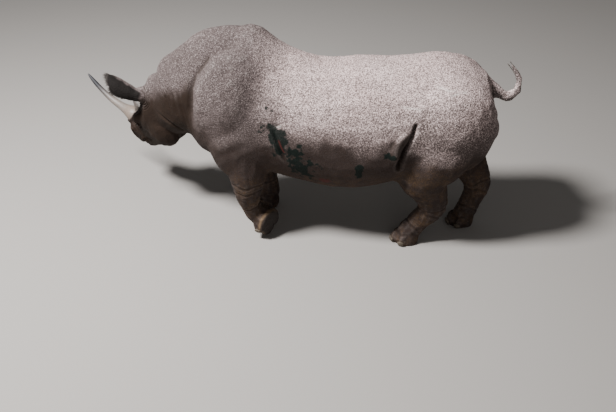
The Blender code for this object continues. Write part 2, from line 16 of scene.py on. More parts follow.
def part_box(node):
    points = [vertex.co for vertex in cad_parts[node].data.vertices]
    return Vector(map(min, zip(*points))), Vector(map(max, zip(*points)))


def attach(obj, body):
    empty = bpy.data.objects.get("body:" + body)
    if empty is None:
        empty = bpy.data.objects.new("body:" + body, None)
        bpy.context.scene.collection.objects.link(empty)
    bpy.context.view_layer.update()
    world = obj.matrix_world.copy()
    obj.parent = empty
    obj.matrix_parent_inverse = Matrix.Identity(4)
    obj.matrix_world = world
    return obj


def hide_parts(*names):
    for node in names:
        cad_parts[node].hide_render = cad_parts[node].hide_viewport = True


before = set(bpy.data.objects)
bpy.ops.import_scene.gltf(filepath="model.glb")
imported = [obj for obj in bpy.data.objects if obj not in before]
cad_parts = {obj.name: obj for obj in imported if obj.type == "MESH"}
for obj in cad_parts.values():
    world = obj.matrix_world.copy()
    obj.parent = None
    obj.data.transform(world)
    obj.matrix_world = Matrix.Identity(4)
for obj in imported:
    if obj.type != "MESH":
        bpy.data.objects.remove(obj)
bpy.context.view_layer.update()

LEFT, RIGHT = -1, 1
HUMP = np.array((-0.2560, -0.0963, 0.0))  # the floor below the shoulder hump, in the frame

# the head, as the solids have it: poll, then degrees nose down, nose to the right, crown to the left
POLL = Vector((-0.644, 0.170, 0.895))
HEAD_PITCH = 40.5
HEAD_YAW = 38.0
HEAD_ROLL = 12.0
HEAD_SCALE = 0.705 / 0.68  # its places are given as on a head 0.68 long

# the feet: middle of the sole, degrees turned to the right, degrees the heel is lifted
FEET = {
    "front_left": ((0.160, -0.255, 0.150), 36.0, 80.0),
    "front_right": ((0.08, 0.21, 0.0), 6.0, 0.0),
    "hind_left": ((1.24, -0.220, 0.0), -10.0, 0.0),
    "hind_right": ((1.69, 0.06, 0.0), -14.0, 0.0),
}

# the tail's middle line, x and z, from root to tip
TAIL = [(1.60, 1.310), (1.71, 1.250), (1.785, 1.205), (1.84, 1.160), (1.892, 1.152), (1.932, 1.192),
        (1.946, 1.250), (1.935, 1.305), (1.902, 1.352), (1.856, 1.405)]

# the ears: where each tip and its opening point, as forward, right, up on the head
EAR_LENGTH = 0.27
EAR_ROOT = (0.045, 0.115, 0.200)
EAR_AIMS = {
    LEFT: ((0.30, -0.30, 0.90), (0.85, -0.45, -0.20)),
    RIGHT: ((-0.15, 0.85, 0.10), (0.10, 0.10, -1.00)),
}

EYE_ON_HEAD = (0.335, 0.125, 0.055)  # forward, right, up
EYE_WIDE = 0.0165  # half the opening between the lids, across and up
EYE_HIGH = 0.0088
EYE_LID = 0.0022  # thickness of the lids over the ball
EYE_TILT = math.radians(7)  # front corner of the eye down

HIDE_VOXEL = 0.0075  # grain of the hide's mesh before its surface is worked
HORN_VOXEL = 0.0035
NAIL_VOXEL = 0.0030
HORN_SLIMMER = 0.008  # taken off the front horn's middle
ROUNDING = 0.0024  # what rounding takes off a horn, given to it before
SEAM = 0.0012  # flesh pieces grow by this much to close the cuts between them
BODY_SMOOTHING = 70  # steps
FACE_SMOOTHING = 12
DRAW_IN = 0.55  # a smoothing step's two halves, as shares of the way to the neighbours' mean
LET_OUT = -0.56

CAMERA_TARGET = (0.4334, 0.121, 0.046)  # in the body's measure
CAMERA_TURN = math.radians(4.6)  # towards the tail, from square to the animal's left side
CAMERA_HEIGHT = math.radians(34.0)
CAMERA_DISTANCE = 6.056
CAMERA_LENS = 42.7  # mm
CAMERA_SENSOR = 36

LEGS = ("front_left", "front_right", "hind_left", "hind_right")
FLESH = ["trunk", "neck", "head", "tail"] + [leg + "_leg" for leg in LEGS]
EARS = ["left_ear", "right_ear"]
NAILS = [f"{leg}_nail_{letter}" for leg in LEGS for letter in "abc"]


# ------------------------ measures and fields
def head_place():
    """The head's own axes (-x to the nose, y to its right, z to its crown) set in the body's measure."""
    facing = Matrix.Rotation(math.radians(-HEAD_YAW), 4, "Z")
    nodding = Matrix.Rotation(math.radians(-HEAD_PITCH), 4, "Y")
    tilting = Matrix.Rotation(math.radians(HEAD_ROLL), 4, "X")
    return Matrix.Translation(POLL) @ facing @ nodding @ tilting @ Matrix.Scale(HEAD_SCALE, 4)


def on_head(forward, right, up):
    """A point on the head, in the body's measure."""
    return np.array(head_place() @ Vector((-forward, right, up)))


def head_measure(p):
    """Points of the body's measure in the head's own: forward, out to either side, up."""
    inverse = np.array(head_place().inverted())
    local = p @ inverse[:3, :3].T + inverse[:3, 3]
    return np.stack((-local[:, 0], np.abs(local[:, 1]), local[:, 2]), axis=1)


def noise(p, size, seed):
    """Smooth random field from -1 to 1 with bumps about size across."""
    grid = p / size
    cell = np.floor(grid).astype(np.int64)
    t = grid - cell
    t = t * t * (3 - 2 * t)
    table = np.random.default_rng(seed).uniform(-1, 1, 8192)
    total = np.zeros(len(p))
    for corner in itertools.product((0, 1), repeat=3):
        at = cell + corner
        index = (at[:, 0] * 73 + at[:, 1] * 1009 + at[:, 2] * 4051) % 8192
        weight = np.prod(np.where(corner, t, 1 - t), axis=1)
        total += table[index] * weight
    return total


def rumple(p, size, seed):
    """Noise with finer noise on it."""
    return sum(noise(p, size / 2 ** k, seed + k) / 2 ** k for k in range(3)) / 1.5


def hump(distance, width):
    """Bell that is 1 at no distance."""
    return np.exp(-((distance / width) ** 2))


def ramp(value, start, end):
    """Smooth step from 0 at start to 1 at end."""
    t = np.clip((value - start) / (end - start), 0, 1)
    return t * t * (3 - 2 * t)


def norms(rows):
    """The length of each row."""
    return np.linalg.norm(rows, axis=1)


def to_line(p, points):
    """Distance from each point to a bent line, and how far along the line it is, from 0 to 1."""
    points = np.array(points, float)
    best = np.full(len(p), 9.0)
    along = np.zeros(len(p))
    lengths = norms(points[1:] - points[:-1])
    starts = np.concatenate(([0], np.cumsum(lengths)))
    for a, b, length, start in zip(points, points[1:], lengths, starts):
        t = np.clip((p - a) @ (b - a) / length ** 2, 0, 1)
        distance = norms(p - a - t[:, None] * (b - a))
        nearer = distance < best
        best = np.where(nearer, distance, best)
        along = np.where(nearer, (start + t * length) / starts[-1], along)
    return best, along


def fading(along, ends):
    """1 in the middle of a line and 0 at its two ends."""
    return ramp(along, 0, ends) * (1 - ramp(along, 1 - ends, 1))


# ------------------------ meshes
def linked(name, data):
    """A new object with this mesh, light or camera, in the scene."""
    obj = bpy.data.objects.new(name, data)
    bpy.context.scene.collection.objects.link(obj)
    return obj


def new_mesh(name, coords, faces):
    mesh = bpy.data.meshes.new(name)
    mesh.from_pydata([tuple(c) for c in coords], [], [tuple(f) for f in faces])
    return linked(name, mesh)


def apply_modifiers(obj):
    """Turns the object's modifiers into mesh."""
    graph = bpy.context.evaluated_depsgraph_get()
    mesh = bpy.data.meshes.new_from_object(obj.evaluated_get(graph), depsgraph=graph)
    old = obj.data
    obj.modifiers.clear()
    obj.data = mesh
    bpy.data.meshes.remove(old)


def array_of(items, field, width, kind=np.float32):
    """One field of all the items of a mesh, as rows of the given width."""
    flat = np.empty(len(items) * width, kind)
    items.foreach_get(field, flat)
    return flat.reshape(-1, width)


def coords_of(obj):
    return array_of(obj.data.vertices, "co", 3).astype(float)


def set_coords(obj, coords):
    obj.data.vertices.foreach_set("co", coords.astype(np.float32).ravel())
    obj.data.update()


def normals_of(obj):
    return array_of(obj.data.vertex_normals, "vector", 3).astype(float)


def averaged(coords, edges):
    """The mean place of each vertex's neighbours."""
    count = len(coords)
    near = np.concatenate((edges[:, 0], edges[:, 1]))
    far = np.concatenate((edges[:, 1], edges[:, 0]))
    degree = np.maximum(np.bincount(near, minlength=count), 1)
    return np.stack([np.bincount(near, coords[far, k], count) / degree for k in range(3)], axis=1)


def mark(obj, name, values):
    """Stores a value per vertex for the materials to read."""
    layer = obj.data.attributes.new(name, "FLOAT", "POINT")
    layer.data.foreach_set("value", values.astype(np.float32))


def gathered(name, nodes, grow):
    """One mesh of several CAD nodes, each grown a little along its normals."""
    bm = bmesh.new()
    for node in nodes:
        piece = bmesh.new()
        piece.from_mesh(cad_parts[node].data)
        bmesh.ops.remove_doubles(piece, verts=piece.verts, dist=0.00001)
        bmesh.ops.recalc_face_normals(piece, faces=piece.faces)
        piece.normal_update()
        for vert in piece.verts:
            vert.co += vert.normal * grow
        mesh = bpy.data.meshes.new("piece")
        piece.to_mesh(mesh)
        piece.free()
        bm.from_mesh(mesh)
        bpy.data.meshes.remove(mesh)
    mesh = bpy.data.meshes.new(name)
    bm.to_mesh(mesh)
    bm.free()
    return linked(name, mesh)


def remesh(obj, voxel):
    grain = obj.modifiers.new("grain", "REMESH")
    grain.mode = "VOXEL"
    grain.voxel_size = voxel
    apply_modifiers(obj)


def relax(obj, steps, amount):
    """Smooths a mesh without shrinking it: each step draws in and then lets out a little more."""
    coords = coords_of(obj)
    edges = array_of(obj.data.edges, "vertices", 2, np.int32)
    for _ in range(steps):
        for factor in (DRAW_IN, LET_OUT):
            coords += (averaged(coords, edges) - coords) * (factor * amount)[:, None]
    set_coords(obj, coords)


def push(obj, distance):
    """Moves each vertex along its normal."""
    set_coords(obj, coords_of(obj) + normals_of(obj) * distance[:, None])


# ------------------------ hide: where its parts are
def parts_of_body(p):
    """How much each point belongs to the head, ears, legs and tail, each from 0 to 1."""
    x, _, z = p.T
    head = head_measure(p)
    on_the_head = ramp(head[:, 0], -0.10, 0.06) * ramp(-x, 0.50, 0.62)
    ear = np.zeros(len(p))
    for node in EARS:
        low, high = (np.array(corner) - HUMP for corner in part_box(node))
        gap = np.maximum(np.maximum(low - p, p - high), 0)
        ear = np.maximum(ear, hump(norms(gap), 0.012))
    leg = (1 - ramp(z, 0.42, 0.62)) * (1 - ramp(-x, 0.25, 0.40))
    tail = ramp(x, 1.80, 1.86) * ramp(z, 1.05, 1.12)
    return on_the_head, ear, leg, tail


def eye_places():
    """Middle, radius and side of each eyeball."""
    for side, node in ((LEFT, "left_eye"), (RIGHT, "right_eye")):
        low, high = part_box(node)
        yield np.array((low + high) / 2), (high.z - low.z) / 2, side


def eye_axes():
    """Directions to the head's right, and along and up across the opening between the lids."""
    axes = np.array(head_place().to_3x3()) / HEAD_SCALE
    forward, across, up = -axes[:, 0], axes[:, 1], axes[:, 2]
    long_way = forward * math.cos(EYE_TILT) - up * math.sin(EYE_TILT)
    high_way = up * math.cos(EYE_TILT) + forward * math.sin(EYE_TILT)
    return across, long_way, high_way


# ------------------------ hide: its folds
def flat(line):
    """A line drawn as the side of the animal shows it, (x, z), as points (x, 0, z)."""
    return [(x, 0.0, z) for x, z in line]


def furrow(side_view, line, width, depth, ends=0.2, lip=0.0):
    """A fold cut along a line of the side view, with the skin swelling a little on each side of it."""
    gap, along = to_line(side_view, flat(line))
    return fading(along, ends) * (lip * hump(gap, 2.6 * width) - (depth + lip) * hump(gap, width))


def ridge(side_view, line, width, height):
    """A soft ridge raised along a line of the side view."""
    gap, along = to_line(side_view, flat(line))
    return fading(along, 0.3) * height * hump(gap, width)


def shoulder(side_view):
    """Front border of the shoulder over the neck, the blade's ridge and the hollows beside it."""
    border = [(-0.13, 1.55), (-0.24, 1.45), (-0.335, 1.33), (-0.378, 1.22), (-0.388, 1.06), (-0.37, 0.90)]
    rim = [(x + 0.07, z) for x, z in border]
    before = [(-0.066, 1.437), (-0.099, 1.393), (-0.134, 1.346), (-0.179, 1.249)]
    spine = [(0.01, 1.44), (0.004, 1.391), (-0.023, 1.295), (-0.033, 1.189), (-0.06, 1.06)]
    behind = [(0.10, 1.36), (0.137, 1.277), (0.200, 1.214), (0.185, 1.091), (0.15, 1.009)]
    point = [(-0.23, 0.76), (-0.124, 0.835), (-0.047, 0.883), (0.025, 0.923)]
    depth = furrow(side_view, border, 0.022, 0.020, 0.25)
    depth += ridge(side_view, rim, 0.045, 0.012)
    depth += furrow(side_view, before, 0.045, 0.008)
    depth += ridge(side_view, spine, 0.060, 0.007)
    depth += ridge(side_view, behind, 0.070, 0.012)
    depth += furrow(side_view, [(x + 0.01, z - 0.03) for x, z in point], 0.035, 0.004)
    depth += ridge(side_view, [(x, z + 0.03) for x, z in point], 0.060, 0.006)
    return depth


def elbow(side_view):
    """Crease behind the upper arm, with finer ones beside it."""
    crease = [(0.221, 1.03), (0.235, 0.977), (0.256, 0.919), (0.276, 0.865), (0.303, 0.798), (0.345, 0.72)]
    depth = furrow(side_view, crease, 0.014, 0.016, 0.3, 0.005)
    for k, shift in enumerate((0.045, 0.085, -0.04)):
        beside = [(x + shift, z - 0.04) for x, z in crease[1:-1]]
        depth += furrow(side_view, beside, 0.012, 0.004 - 0.0008 * k, 0.3)
    return depth


def flank(side_view):
    """The deep cleft before the haunch, the roll of skin hanging before it and the ribbing behind."""
    cleft = [(1.222, 1.115), (1.205, 1.03), (1.184, 0.969), (1.160, 0.918), (1.137, 0.865), (1.125, 0.80),
             (1.118, 0.72)]
    roll = [(1.190, 1.075), (1.145, 1.027), (1.108, 0.972), (1.095, 0.915), (1.098, 0.85), (1.10, 0.78)]
    before = [(1.165, 1.075), (1.105, 1.01), (1.062, 0.95), (1.050, 0.89)]
    haunch = [(1.225, 1.12), (1.245, 1.17), (1.275, 1.23)]
    depth = furrow(side_view, cleft, 0.013, 0.040, 0.12)
    depth += furrow(side_view, [(x - 0.004, z) for x, z in cleft[2:]], 0.017, 0.022, 0.25)
    depth += ridge(side_view, roll, 0.034, 0.024)
    depth += furrow(side_view, before, 0.022, 0.007)
    depth += ridge(side_view, haunch, 0.030, 0.006)
    x, _, z = side_view.T
    ribbed = ramp(x, 1.215, 1.235) * (1 - ramp(x, 1.30, 1.42))
    ribbed *= ramp(z, 0.96, 1.0) * (1 - ramp(z, 1.09, 1.15))
    slant = x + 0.35 * (z - 1.05) + 0.006 * noise(side_view, 0.05, 3)
    return depth + 0.0022 * ribbed * np.cos(slant * 2 * math.pi / 0.024)


def ribs(p):
    """Ribs that barely show through the skin of the barrel."""
    x, _, z = p.T
    where = ramp(x, 0.32, 0.45) * (1 - ramp(x, 0.95, 1.12))
    where *= ramp(z, 0.80, 0.92) * (1 - ramp(z, 1.15, 1.28))
    lean = x - 0.25 * (z - 1.0)
    return 0.0006 * where * np.cos(lean * 2 * math.pi / 0.11 + 2.5 * noise(p, 0.3, 5))


def throat(p, side_view):
    """Folds from the ear to the throat and up the neck, closer together where the neck bends."""
    left = 1 - ramp(p[:, 1], -0.06, 0.02)
    jaw_fold = [(-0.75, 0.955), (-0.66, 0.918), (-0.598, 0.892), (-0.539, 0.86), (-0.47, 0.82)]
    depth = left * furrow(side_view, jaw_fold, 0.014, 0.010, 0.25, 0.006)
    folds = ((-0.52, 1.20, 0.93), (-0.47, 1.24, 0.90), (-0.585, 1.16, 0.96), (-0.43, 1.12, 0.86))
    for x, top, bottom in folds:
        line = [(x - 0.03, top), (x, 0.5 * (top + bottom)), (x + 0.035, bottom)]
        depth += left * furrow(side_view, line, 0.013, 0.005, 0.35, 0.002)
    right = ramp(p[:, 1], 0.04, 0.12)
    for x, strength in ((-0.37, 0.010), (-0.43, 0.013), (-0.49, 0.013), (-0.55, 0.010)):
        line = [(x - 0.06, 1.34), (x - 0.02, 1.18), (x + 0.01, 1.02), (x + 0.04, 0.82)]
        depth += right * furrow(side_view, line, 0.018, strength, 0.3, 0.4 * strength)
    return depth


def rear(p):
    """Cleft under the tail, the folds that ring its root, and wrinkles along it."""
    x, y, z = p.T
    under = ramp(x, 1.60, 1.68) * ramp(z, 0.68, 0.80) * (1 - ramp(z, 1.12, 1.20))
    depth = -0.022 * under * hump(y, 0.016)
    gap, along = to_line(p, flat(TAIL))
    on_tail = (1 - ramp(gap, 0.07, 0.10)) * ramp(x, 1.74, 1.80)
    wave = np.cos(along * 2 * math.pi * 24 + 2.0 * noise(p, 0.03, 8))
    depth += 0.0012 * on_tail * (1 - 0.6 * along) * wave
    root = [(1.70, 1.33), (1.755, 1.28), (1.77, 1.20), (1.765, 1.12)]
    depth += furrow(p * (1, 0, 1), root, 0.014, 0.008, 0.2) * (1 - hump(y, 0.02) * 0.6)
    return depth


def rings(p, joints, marks, width=0.022, depth=0.005):
    """Folds round a limb where it bends: at each mark, a share of the way along the joints' line."""
    gap, along = to_line(p, joints)
    total = np.zeros(len(p))
    wobble = 0.6 * noise(p, 0.09, 12)
    for place in marks:
        total -= hump(along - place + 0.1 * wobble, width) * depth
    return total * (1 - ramp(gap, 0.13, 0.18))


def limbs(p):
    """Folds at the wrists, hocks and fetlocks, and wrinkles across the lower legs."""
    x, y, z = p.T
    left = 1 - ramp(y, -0.06, 0.02)
    right = ramp(y, -0.03, 0.03)
    wrist_left = [(0.01, -0.275, 0.60), (0.01, -0.275, 0.50), (0.01, -0.265, 0.37), (0.025, -0.24, 0.265)]
    wrist_right = [(0.03, 0.245, 0.60), (0.04, 0.24, 0.50), (0.07, 0.23, 0.36), (0.10, 0.22, 0.22)]
    hock_left = [(1.36, -0.24, 0.47), (1.40, -0.215, 0.32), (1.32, -0.21, 0.20), (1.27, -0.215, 0.12)]
    hock_right = [(1.71, 0.16, 0.46), (1.77, 0.125, 0.33), (1.74, 0.09, 0.21), (1.71, 0.07, 0.12)]
    depth = left * rings(p, wrist_left, (0.26, 0.42, 0.88))
    depth += right * rings(p, wrist_right, (0.28, 0.42, 0.92), 0.020, 0.004)
    depth += left * rings(p, hock_left, (0.38, 0.50, 0.90))
    depth += right * rings(p, hock_right, (0.36, 0.48, 0.90))
    low = (1 - ramp(z, 0.45, 0.70)) * (1 - ramp(-x, 0.25, 0.40)) * ramp(z, 0.02, 0.06)
    wrinkle = 1 - np.abs(noise(p * (1, 1, 1.6), 0.040, 21)) * 2
    return depth + 0.0012 * low * wrinkle


def on_foot(p, leg):
    """Points in the foot's own measure: forward, right, up from the middle of its sole."""
    at, heading, lift = FEET[leg]
    turned = Matrix.Rotation(math.radians(-heading), 3, "Z") @ Matrix.Rotation(math.radians(-lift), 3, "Y")
    return ((p - at) @ np.array(turned)) * (-1, 1, 1)


def toes(p):
    """Clefts between the toes and the fold over each nail, and where the raised sole and its rim are; the
    rim takes a painted highlight.
    """
    depth, sole, rim = np.zeros((3, len(p)))
    for leg in LEGS:
        q = on_foot(p, leg)
        ahead, aside, up = q.T
        near = (norms(q * (1, 1, 0.8)) < 0.20) & (up < 0.14)
        angle = np.degrees(np.arctan2(aside, ahead + 0.02))
        reach = np.hypot(ahead, aside)
        cleft = hump(np.abs(angle) - 31, 7.0) * ramp(reach, 0.04, 0.07) * (1 - ramp(up, 0.06, 0.11))
        depth -= near * 0.009 * cleft
        scallop = 0.004 * np.cos(np.radians(angle * 6))
        over = hump(up - 0.092 - scallop, 0.008) * ramp(ahead, -0.02, 0.04)
        depth -= near * 0.005 * over
        if leg == "front_left":
            sole = near * (1 - ramp(up, -0.004, 0.012))
            pad = hump(reach, 0.07) * sole
            crack = np.abs(noise(p, 0.020, 31))
            depth += sole * (0.004 * pad - 0.0014 * (1 - 2.2 * crack))
            rim = near * hump(up - 0.006, 0.012) * ramp(reach, 0.062, 0.085)
    return depth, sole, rim


# ------------------------ hide: the face
NOSTRIL = [(0.528, 0.056), (0.548, 0.046), (0.562, 0.028), (0.556, 0.010)]
MOUTH = [(0.650, -0.082), (0.60, -0.090), (0.56, -0.084), (0.52, -0.073), (0.48, -0.067), (0.445, -0.074)]


def snout(q, side_q):
    """Nostrils, mouth and lips, and the wrinkles across the nose below the horns."""
    on_side = ramp(q[:, 1], 0.018, 0.034)
    pit, _ = to_line(side_q, flat(NOSTRIL))
    depth = on_side * (-0.020 * (1 - ramp(pit, 0.004, 0.011)) + 0.006 * hump(pit - 0.017, 0.007))
    mouth, along = to_line(side_q, flat(MOUTH))
    ends = ramp(along, -0.1, 0.0) * (1 - ramp(along, 0.90, 1.0))
    depth += ends * (-0.012 * hump(mouth, 0.0045) + 0.005 * hump(mouth - 0.016, 0.009))
    near_lips = hump(mouth - 0.010, 0.022)
    depth += 0.0010 * near_lips * np.cos(q[:, 0] * 2 * math.pi / 0.011 + 1.5 * noise(q, 0.03, 41))
    across = [
        ([(0.470, 0.110), (0.455, 0.070), (0.450, 0.020), (0.462, -0.020)], 0.0045),
        ([(0.445, 0.115), (0.428, 0.075), (0.422, 0.020), (0.430, -0.025)], 0.0040),
        ([(0.420, 0.110), (0.402, 0.070), (0.396, 0.015), (0.405, -0.030)], 0.0035),
        ([(0.500, 0.085), (0.490, 0.050), (0.490, 0.010)], 0.0035),
        ([(0.440, -0.060), (0.418, -0.085), (0.405, -0.125)], 0.0050),
        ([(0.415, -0.050), (0.390, -0.080), (0.378, -0.120)], 0.0035),
    ]
    for line, deep in across:
        depth += on_side * furrow(side_q, line, 0.0055, deep, 0.25, 0.4 * deep)
    return depth


def horn_beds(q):
    """The skin swells in a collar round the foot of each horn."""
    depth = np.zeros(len(q))
    for foot, reach in (((0.487, 0, 0.150), 0.071), ((0.345, 0, 0.140), 0.061)):
        gap = norms(q - foot)
        depth += 0.006 * hump(gap - reach, 0.010) * ramp(q[:, 2], 0.04, 0.08)
        depth -= 0.003 * hump(gap - reach - 0.018, 0.006) * ramp(q[:, 2], 0.04, 0.08)
    return depth


def ear_roots(q):
    """Folds of loose skin ringing each ear's root."""
    gap = norms(q - (0.045, 0.115, 0.190))
    lower = 1 - ramp(q[:, 2], 0.20, 0.26)
    depth = np.zeros(len(q))
    for radius, deep in ((0.058, 0.006), (0.073, 0.007), (0.089, 0.005), (0.106, 0.003)):
        depth -= deep * hump(gap - radius - 0.004 * noise(q, 0.04, 51), 0.0048)
        depth += 0.45 * deep * hump(gap - radius - 0.008, 0.006)
    return depth * lower


def cheek(side_q):
    """The jaw muscle's front edge, the cheekbone and the hollow above it."""
    edge = [(0.29, -0.02), (0.275, -0.08), (0.27, -0.14), (0.25, -0.19)]
    hollow = [(0.21, 0.075), (0.16, 0.10), (0.11, 0.13)]
    bone = [(0.33, 0.0), (0.26, 0.005), (0.18, 0.03), (0.12, 0.06)]
    depth = furrow(side_q, edge, 0.024, 0.006, 0.3)
    depth += furrow(side_q, hollow, 0.028, 0.007, 0.3)
    return depth + ridge(side_q, bone, 0.024, 0.006)


def almond(s, t):
    """Distance outside the opening between the lids, below 0 inside it."""
    half = EYE_HIGH * np.sqrt(np.clip(1 - (s / EYE_WIDE) ** 2, 0, 1))
    beside = np.hypot(np.maximum(np.abs(s) - EYE_WIDE, 0), t)
    return np.where(np.abs(s) < EYE_WIDE, np.abs(t) - half, beside)


def open_lids(obj):
    """Lids that hug each eyeball and leave an almond open, with the folds that ring them."""
    p = coords_of(obj)
    across, long_way, high_way = eye_axes()
    for centre, radius, side in eye_places():
        out = across * side
        s, t, h = ((p - centre) @ way for way in (long_way, high_way, out))
        pick = np.where((np.hypot(s, t) < 0.085) & (h > -0.05))[0]
        s, t, h = s[pick], t[pick], h[pick]
        gap = almond(s, t)
        rho = np.hypot(s, t)
        lid = radius + EYE_LID
        ball = np.where(rho < lid, np.sqrt(np.clip(lid ** 2 - rho ** 2, 0, 1)), (lid - rho) * 0.9)
        blend = 0.5 + 0.5 * np.tanh((ball - h) / 0.004)
        wide = h + blend * (ball - h) + 0.0015 * hump(ball - h, 0.004)
        upper = ramp(t, -0.004, 0.008)
        front = ramp(s, 0.0, 0.018)
        folds = -0.0028 * hump(gap - 0.0075, 0.0022) * (0.35 + 0.65 * upper)
        folds -= 0.0042 * hump(gap - 0.0155, 0.0030) * (0.5 + 0.5 * upper)
        folds -= 0.0050 * hump(gap - 0.0265, 0.0042) * (0.4 + 0.6 * front)
        folds -= 0.0045 * hump(gap - 0.0390, 0.0050) * (0.3 + 0.7 * front)
        folds += 0.0040 * hump(gap - 0.0210, 0.0042) * upper
        folds += 0.0025 * hump(gap - 0.0330, 0.0050)
        rays = np.cos(np.arctan2(t, s) * 26 + 2 * noise(p[pick] - centre, 0.012, 61))
        folds += 0.0006 * rays * ramp(gap, 0.001, 0.006) * (1 - ramp(gap, 0.03, 0.05))
        folds += 0.0012 * hump(gap - 0.001, 0.0022)
        inner = np.sqrt(np.clip((radius - 0.004) ** 2 - rho ** 2, 0, 1))
        target = np.where(gap < 0, inner, wide + folds)
        fade = 1 - ramp(rho, 0.060, 0.082)
        p[pick] += (fade * (target - h))[:, None] * out
    set_coords(obj, p)


# ------------------------ hide: put together
def wrinkled(p, head, ear, leg):
    """The network of fine folds and the unevenness all over the hide."""
    x, _, z = p.T
    rough = 0.0035 * rumple(p, 0.16, 71)
    cross = p @ np.array(((0.8, 0, -0.6), (0, 1, 0), (0.6, 0, 0.8))).T
    mesh = 1 - 2.2 * np.abs(noise(cross * (1, 1, 1.7), 0.042, 75))
    fine = 1 - 2.2 * np.abs(noise(p * (1.5, 1, 1), 0.024, 78))
    upper = ramp(z, 0.55, 0.95)
    folded = 0.35 + 0.65 * hump(x + 0.42, 0.35) + 0.35 * hump(x - 1.35, 0.25)
    folds = folded * (0.0008 * mesh + 0.0005 * fine) * (0.4 + 0.6 * upper)
    total = (1 - head) * (1 - leg) * (rough + folds)
    facial = 0.0009 * (1 - 2.2 * np.abs(noise(p, 0.022, 81))) + 0.0014 * noise(p, 0.05, 84)
    total += head * (1 - ear) * facial
    return total * (1 - 0.8 * ear)


def sculpt(obj):
    """Cuts the folds into the hide and raises what lies between them. Gives back where the sole is."""
    p = coords_of(obj) - HUMP
    x, y, z = p.T
    q = head_measure(p)
    side_view, side_q = p * (1, 0, 1), q * (1, 0, 1)
    head, ear, leg, _ = parts_of_body(p)
    body = (1 - head) * (1 - ear) * ramp(np.abs(y), 0.08, 0.24)
    depth = body * (shoulder(side_view) + elbow(side_view) + flank(side_view) + ribs(p))
    depth += 0.013 * hump(x + 0.060, 0.100) * ramp(z, 1.44, 1.58)
    depth += (1 - ear) * ramp(-x, 0.34, 0.42) * throat(p, side_view)
    depth += rear(p) * ramp(x, 1.5, 1.6)
    depth += limbs(p)
    foot, sole, rim = toes(p)
    depth += foot
    face = head * (1 - ear)
    depth += face * (snout(q, side_q) + cheek(side_q) + horn_beds(q))
    depth += (1 - ear) * ramp(-x, 0.55, 0.62) * ear_roots(q)
    depth += wrinkled(p, head, ear, leg)
    depth -= 0.0030 * ear * ramp(norms(q - EAR_ROOT), 0.09, 0.13)
    ground = ramp(z, 0.002, 0.02)
    depth *= np.maximum(ground, sole)
    push(obj, depth)
    mark(obj, "sole", sole)
    # the rim round the raised sole, for its painted highlight
    mark(obj, "rim", rim)
    return sole


def hollows(obj, steps=6):
    """How far each vertex lies below its surroundings, in metres."""
    coords = coords_of(obj)
    smooth = coords.copy()
    edges = array_of(obj.data.edges, "vertices", 2, np.int32)
    for _ in range(steps):
        smooth = averaged(smooth, edges)
    return np.sum((smooth - coords) * normals_of(obj), axis=1)


def stained(p):
    """Dark green smears behind the foreleg, on the belly and at the throat, as from crushed leaves."""
    side_view = p * (1, 0, 1)
    left = 1 - ramp(p[:, 1], -0.10, 0.0)
    patches = noise(p, 0.045, 91) + 0.8 * noise(p, 0.018, 92)
    behind_leg = [(0.19, 1.17), (0.20, 1.08), (0.25, 0.95), (0.31, 0.87), (0.38, 0.80), (0.46, 0.70)]
    streak, along = to_line(side_view, flat(behind_leg))
    smear = hump(streak, 0.105) * (0.35 + 0.65 * ramp(along, 0.0, 0.45))
    spots = (
        ([(0.849, 0.78), (0.836, 0.69)], 0.030, 1.1),
        ([(1.035, 0.86), (1.075, 0.865)], 0.032, 1.1),
        ([(-0.56, 0.87), (-0.47, 0.91)], 0.030, 0.8),
    )
    for line, width, strength in spots:
        gap, _ = to_line(side_view, flat(line))
        smear = np.maximum(smear, strength * hump(gap, width))
    return left * ramp(smear + 0.42 * patches, 0.32, 0.95)


def scratched(p):
    """Thin pale scratches on the haunch, the flank and behind the shoulder."""
    side_view = p * (1, 0, 1) + 0.006 * noise(p, 0.06, 95)[:, None]
    marks = np.zeros(len(p))
    lines = (
        [(1.33, 1.334), (1.41, 1.325), (1.49, 1.331)],
        [(1.10, 1.212), (1.19, 1.198), (1.27, 1.20)],
        [(1.42, 1.30), (1.56, 1.318)],
        [(0.22, 1.03), (0.30, 1.05)],
    )
    for line in lines:
        gap, along = to_line(side_view, flat(line))
        marks = np.maximum(marks, hump(gap, 0.0055) * fading(along, 0.25))
    return marks * (p[:, 1] < 0)


